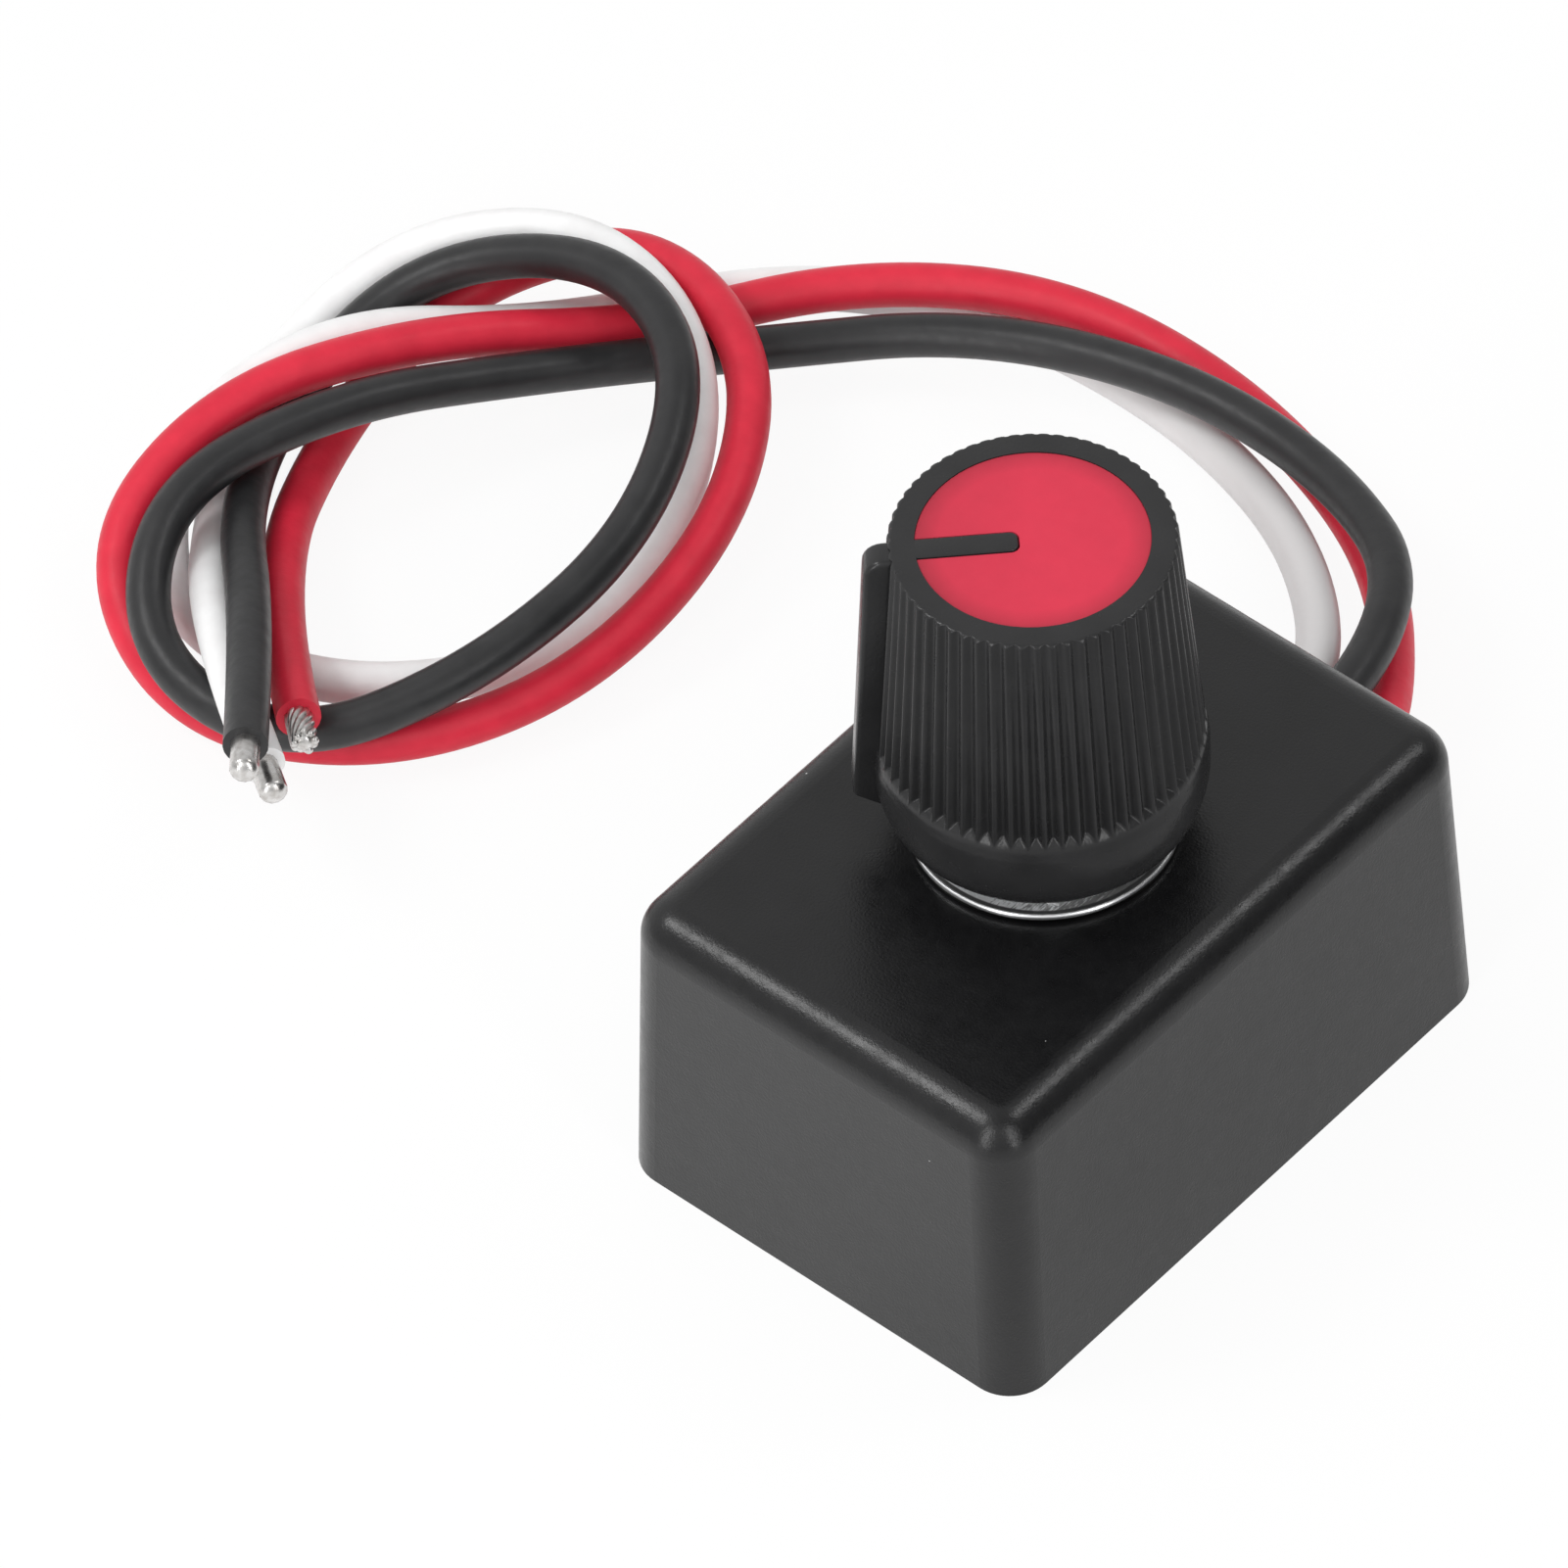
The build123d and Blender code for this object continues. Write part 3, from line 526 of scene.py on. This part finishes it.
# Finish of the nodes that are shown as they are
slot_of = {part["node"]: part["material_slot"] for part in frame["record"]["subparts"]}
for name, node in frame["nodes"].items():
    dress(node, slot_of[name])
    node.data.shade_smooth()
    node.data.set_sharp_from_angle(angle=radians(25))


# Knob: a skin of rings, from the shaft's bore round the skirt and the flutes to the cap's recess
knob_low, knob_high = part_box("knob")
knob_base, knob_top = knob_low.z / MM, knob_high.z / MM
shoulder = knob_base + SKIRT_HEIGHT
skirt_radius = (knob_high.x - knob_low.x) / 2 / MM
flute_radius = skirt_radius - SKIRT_STEP
knob_slope = tan(radians(KNOB_TAPER))
knob_top_radius = flute_radius - (knob_top - shoulder) * knob_slope
cap_radius = knob_top_radius - CAP_RIM


def collar_profile():
    """Radius and height of points up the collar: a leaning band, a rounded edge and a shallow crown."""
    start = Vector((skirt_radius, shoulder))
    corner = Vector((skirt_radius - COLLAR_LEAN, shoulder + COLLAR_HEIGHT))
    end = Vector((skirt_radius - COLLAR_WIDTH, shoulder + COLLAR_HEIGHT + COLLAR_CROWN))
    up, inward = (corner - start).normalized(), (end - corner).normalized()
    reach = COLLAR_ROUND * tan(up.angle(inward) / 2)
    first, last = corner - up * reach, corner + inward * reach
    points = [start.lerp(first, k / 4) for k in range(4)]
    points += [first.lerp(corner, k / 8).lerp(corner.lerp(last, k / 8), k / 8) for k in range(8)]
    return points + [last.lerp(end, k / 14) for k in range(15)]


def knob_mesh():
    """The knob's skin, ring by ring from its bore to its top."""
    count = FLUTE_COUNT * FLUTE_STEPS
    notch = [sin(pi * step / FLUTE_STEPS) ** 2 for step in range(count)]

    def side(height, cap=skirt_radius, collar=0.0):
        """Radii all round at a height: the flutes, inside the rounded top edge and outside the collar."""
        depth = FLUTE_DEPTH - FLUTE_RISE * (height - shoulder) / (knob_top - shoulder)
        ridge = flute_radius - (height - shoulder) * knob_slope
        return [max(min(ridge - depth * share, cap), collar) for share in notch]

    shaft_top, nut_top, bushing_top = (
        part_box(name)[1].z / MM for name in ("pot_shaft", "pot_nut", "pot_bushing")
    )
    hollow_top, pocket_top = nut_top + BORE_ROOM, bushing_top + BORE_ROOM
    rings = [(height, [radius] * count) for height, radius in (
        (shaft_top, BORE_RADIUS), (pocket_top, BORE_RADIUS), (pocket_top, POCKET_RADIUS),
        (hollow_top, POCKET_RADIUS), (hollow_top, HOLLOW_RADIUS), (knob_base, HOLLOW_RADIUS),
    )]
    for step in range(SKIRT_STEPS + 1):
        turn = pi / 2 * step / SKIRT_STEPS
        radius = skirt_radius - SKIRT_ROUND + SKIRT_ROUND * sin(turn)
        rings.append((knob_base + SKIRT_ROUND_RISE * (1 - cos(turn)), [radius] * count))
    rings += [(height, side(height, collar=radius)) for radius, height in collar_profile()]
    lean = radians(KNOB_TAPER)
    body_start = rings[-1][0]
    round_start = knob_top - TOP_ROUND * (1 - sin(lean))
    round_middle = knob_top_radius + TOP_ROUND * knob_slope - TOP_ROUND / cos(lean)
    for step in range(1, BODY_STEPS + 1):
        height = body_start + (round_start - body_start) * step / BODY_STEPS
        rings.append((height, side(height)))
    for step in range(1, TOP_STEPS + 1):
        turn = lean + (pi / 2 - lean) * step / TOP_STEPS
        height = knob_top - TOP_ROUND + TOP_ROUND * sin(turn)
        rings.append((height, side(height, cap=round_middle + TOP_ROUND * cos(turn))))
    recess = [cap_radius - CAP_FIT] * count
    rings += [(knob_top, recess), (knob_top - CAP_RECESS, recess)]
    mesh = bmesh.new()
    made = []
    for height, radii in rings:
        made.append([
            mesh.verts.new(Vector((
                radius * cos(2 * pi * step / count), radius * sin(2 * pi * step / count), height
            )) * MM)
            for step, radius in enumerate(radii)
        ])
    for lower, upper in zip(made, made[1:]):
        for step in range(count):
            mesh.faces.new((lower[step - 1], lower[step], upper[step], upper[step - 1]))
    mesh.faces.new(reversed(made[0]))
    mesh.faces.new(made[-1])
    data = bpy.data.meshes.new("knob_skin")
    mesh.to_mesh(data)
    mesh.free()
    return data


knob_skin = new_piece("knob_skin", knob_mesh(), "knob", "knob_plastic", 50)
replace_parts(knob_skin, "knob")


# Pointer: a rib on the knob's side and a bar on its top
def extruded(name, outline, along, up, through, low, high, edge):
    """A flat outline, given along two directions, made solid along a third, with its edges rounded."""
    mesh = bmesh.new()
    for depth in (low, high):
        mesh.faces.new([mesh.verts.new((along * u + up * v + through * depth) * MM) for u, v in outline])
    count = len(outline)
    verts = list(mesh.verts)
    for k in range(count):
        after = (k + 1) % count
        mesh.faces.new((verts[k], verts[after], verts[count + after], verts[count + k]))
    bmesh.ops.recalc_face_normals(mesh, faces=mesh.faces)
    sharp = [e for e in mesh.edges if e.is_manifold and e.calc_face_angle() > radians(50)]
    bmesh.ops.bevel(
        mesh, geom=sharp, offset=edge * MM, segments=5, profile=0.5, affect="EDGES", clamp_overlap=True
    )
    data = bpy.data.meshes.new(name)
    mesh.to_mesh(data)
    mesh.free()
    return data


def turned_corner(u, v, radius, first):
    """Points round a corner's middle, a quarter turn from a first angle in degrees."""
    angles = [radians(first + 15 * k) for k in range(7)]
    return [(u + radius * cos(angle), v + radius * sin(angle)) for angle in angles]


def pointer_pieces():
    """The rib down the knob's side and the bar across its cap, which turn with it."""
    up = Vector((0, 0, 1))
    root = cap_radius + POINTER_ROOT
    rib_top, toe = knob_top - POINTER_DROP, knob_base + POINTER_TOE
    outer = knob_top_radius + POINTER_TOP_STAND
    rib = [
        (root, toe), (skirt_radius - POINTER_ROOT, toe),
        (skirt_radius + POINTER_STAND, toe + POINTER_TOE_RISE),
        *turned_corner(outer - POINTER_CORNER, rib_top - POINTER_CORNER, POINTER_CORNER, 0),
        (root, rib_top),
    ]
    half = POINTER_WIDTH / 2
    rib_mesh = extruded(
        "knob_pointer_rib", rib, pointer_direction, up, pointer_across, -half, half, POINTER_EDGE
    )
    new_piece("knob_pointer_rib", rib_mesh, "knob", "knob_plastic")
    inner, half = BAR_START + BAR_CORNER, BAR_WIDTH / 2
    bar = [
        (root, -half), (root, half),
        *turned_corner(inner, half - BAR_CORNER, BAR_CORNER, 90),
        *turned_corner(inner, BAR_CORNER - half, BAR_CORNER, 180),
    ]
    bar_mesh = extruded(
        "knob_pointer_bar", bar, pointer_direction, pointer_across, up,
        knob_top - CAP_RECESS, knob_top - BAR_DROP, BAR_EDGE,
    )
    new_piece("knob_pointer_bar", bar_mesh, "knob", "knob_plastic")


pointer_pieces()

# Edge rounding on the washer, the nut and the cap, whose faces are first joined at their corners
EDGE_ROUNDS = {"pot_washer": 0.15, "pot_nut": 0.1, "knob_cap": 0.06}
EDGE_ANGLE = 35
JOINED_WITHIN = 0.001
for name, width in EDGE_ROUNDS.items():
    node = frame["nodes"][name]
    node.modifiers.new("joined corners", "WELD").merge_threshold = JOINED_WITHIN * MM
    edges = node.modifiers.new("rounded edges", "BEVEL")
    edges.width = width * MM
    edges.segments = 5
    edges.limit_method = "ANGLE"
    edges.angle_limit = radians(EDGE_ANGLE)
    edges.harden_normals = True

# Floor: white to the camera but for the part's soft shadow; in reflections it fades off, and to the right;
# clear from below
FLOOR_RADIUS = 900
FLOOR_DROP = 0.02
FLOOR_PAINT = (0.9, 0.9, 0.9, 1)
FLOOR_SHADOW = 0.08
FLOOR_MIRRORED = 0.5
GLOW_NEAR = 60
GLOW_FAR = 260
GLOW_REST = 0.35
GLOW_SIDES = (0, 20)
GLOW_SHARES = (1.2, 0.65)


def floor_material():
    """Paint that takes the shadow, mixed with a glow for the camera and for reflections."""
    surface = bpy.data.materials.new("floor")
    surface.use_nodes = True
    tree = surface.node_tree
    tree.nodes.clear()

    def put(kind, *inputs, **settings):
        """A node with plain settings, fed with values or other nodes' outputs in order."""
        node = tree.nodes.new("ShaderNode" + kind)
        for setting, value in settings.items():
            setattr(node, setting, value)
        for socket, value in zip(node.inputs, inputs):
            if hasattr(value, "is_output"):
                tree.links.new(value, socket)
            elif value is not None:
                socket.default_value = value
        return node.outputs[0]

    place = tree.nodes.new("ShaderNodeTexCoord").outputs["Object"]
    sides = tree.nodes.new("ShaderNodeSeparateXYZ")
    tree.links.new(place, sides.inputs[0])
    away = tree.nodes.new("ShaderNodeVectorMath")
    away.operation = "LENGTH"
    tree.links.new(place, away.inputs[0])
    near = put("MapRange", away.outputs["Value"], GLOW_NEAR * MM, GLOW_FAR * MM, 1.0, GLOW_REST)
    across = put("MapRange", sides.outputs["X"], *(side * MM for side in GLOW_SIDES), *GLOW_SHARES)
    mirrored = put("Math", near, across, operation="MULTIPLY")
    path = tree.nodes.new("ShaderNodeLightPath").outputs
    kinds = ("Camera", "Glossy", "Transmission")
    camera_ray, glossy_ray, through_ray = (path[f"Is {kind} Ray"] for kind in kinds)
    unseen = put("Math", 1.0, camera_ray, operation="SUBTRACT")
    level = put("Math", unseen, mirrored, camera_ray, operation="MULTIPLY_ADD")
    seen = put("Math", camera_ray, through_ray, operation="MAXIMUM")
    seen = put("Math", seen, 1 - FLOOR_SHADOW, operation="MULTIPLY")
    share = put("Math", glossy_ray, FLOOR_MIRRORED, seen, operation="MULTIPLY_ADD")
    glow = put("Emission", None, level)
    paint = put("BsdfDiffuse", FLOOR_PAINT)
    mixed = put("MixShader", share, paint, glow)
    below = tree.nodes.new("ShaderNodeNewGeometry").outputs["Backfacing"]
    open_below = put("MixShader", below, mixed, put("BsdfTransparent"))
    tree.links.new(open_below, tree.nodes.new("ShaderNodeOutputMaterial").inputs["Surface"])
    return surface


floor_skin = bmesh.new()
bmesh.ops.create_circle(floor_skin, cap_ends=True, segments=96, radius=FLOOR_RADIUS * MM)
floor_mesh = bpy.data.meshes.new("floor")
floor_skin.to_mesh(floor_mesh)
floor_skin.free()
floor_mesh.materials.append(floor_material())
floor = scene_object("floor", floor_mesh)
floor.location.z = -FLOOR_DROP * MM

# Studio: a sky that is brighter to the left and in front, a soft box and an upright strip to each side of
# the camera, and an even fill that isn't mirrored. Spans are in degrees, as seen from the part.
SKY_LEVEL = 0.5
SKY_SLOPE = (-0.5, 0.1, 0.1)
FRONT_LEVEL = 0.6
FRONT = (0.62, -0.68, 0.3)
FRONT_START = 0.45
FRONT_FULL = 0.9
BOX_DISTANCE = 600
SOFT_BOXES = (
    ("left_box", (-0.44, -0.38, 0.81), (17, 17), 6.0),
    ("right_box", (0.31, 0.49, 0.82), (13, 13), 4.4),
    ("left_strip", (0.124, -0.882, 0.454), (10, 52), 4.0),
    ("right_strip", (0.865, -0.216, 0.454), (10, 52), 3.6),
    ("fill", (0.1, -0.3, 0.95), (60, 60), 0.45),
)
UNMIRRORED = ("fill",)


def studio_world():
    """The sky that lights the part, with a white backdrop for the camera."""
    world = bpy.data.worlds.new("studio")
    world.use_nodes = True
    tree = world.node_tree
    add, link = tree.nodes.new, tree.links.new
    tree.nodes.clear()
    direction = add("ShaderNodeTexCoord").outputs["Generated"]
    slope = add("ShaderNodeVectorMath")
    slope.operation = "DOT_PRODUCT"
    slope.inputs[1].default_value = SKY_SLOPE
    link(direction, slope.inputs[0])
    front = add("ShaderNodeVectorMath")
    front.operation = "DOT_PRODUCT"
    front.inputs[1].default_value = FRONT
    link(direction, front.inputs[0])
    fill = add("ShaderNodeMapRange")
    link(front.outputs["Value"], fill.inputs["Value"])
    levels = (FRONT_START, FRONT_FULL, SKY_LEVEL, SKY_LEVEL + FRONT_LEVEL)
    for socket, number in zip(fill.inputs[1:5], levels):
        socket.default_value = number
    level = add("ShaderNodeMath")
    level.operation = "ADD"
    link(slope.outputs["Value"], level.inputs[0])
    link(fill.outputs["Result"], level.inputs[1])
    sky = add("ShaderNodeBackground")
    link(level.outputs["Value"], sky.inputs["Strength"])
    backdrop = add("ShaderNodeBackground")
    path = add("ShaderNodeLightPath")
    backdrop.inputs["Color"].default_value = (1, 1, 1, 1)
    mixed = add("ShaderNodeMixShader")
    link(path.outputs["Is Camera Ray"], mixed.inputs["Fac"])
    link(sky.outputs["Background"], mixed.inputs[1])
    link(backdrop.outputs["Background"], mixed.inputs[2])
    link(mixed.outputs["Shader"], add("ShaderNodeOutputWorld").inputs["Surface"])
    return world


scene.world = studio_world()
for name, direction, spans, radiance in SOFT_BOXES:
    lamp = bpy.data.lights.new(name, "AREA")
    lamp.shape = "RECTANGLE"
    lamp.size, lamp.size_y = (2 * BOX_DISTANCE * MM * tan(radians(span / 2)) for span in spans)
    lamp.energy = 4 * radiance * lamp.size * lamp.size_y
    softbox = scene_object(name, lamp)
    softbox.location = Vector(direction).normalized() * BOX_DISTANCE * MM
    softbox.rotation_mode = "QUATERNION"
    softbox.rotation_quaternion = Vector(direction).to_track_quat("Z", "Y")
    softbox.visible_camera = False
    softbox.visible_glossy = name not in UNMIRRORED

# Scene brought up to date
bpy.context.view_layer.update()
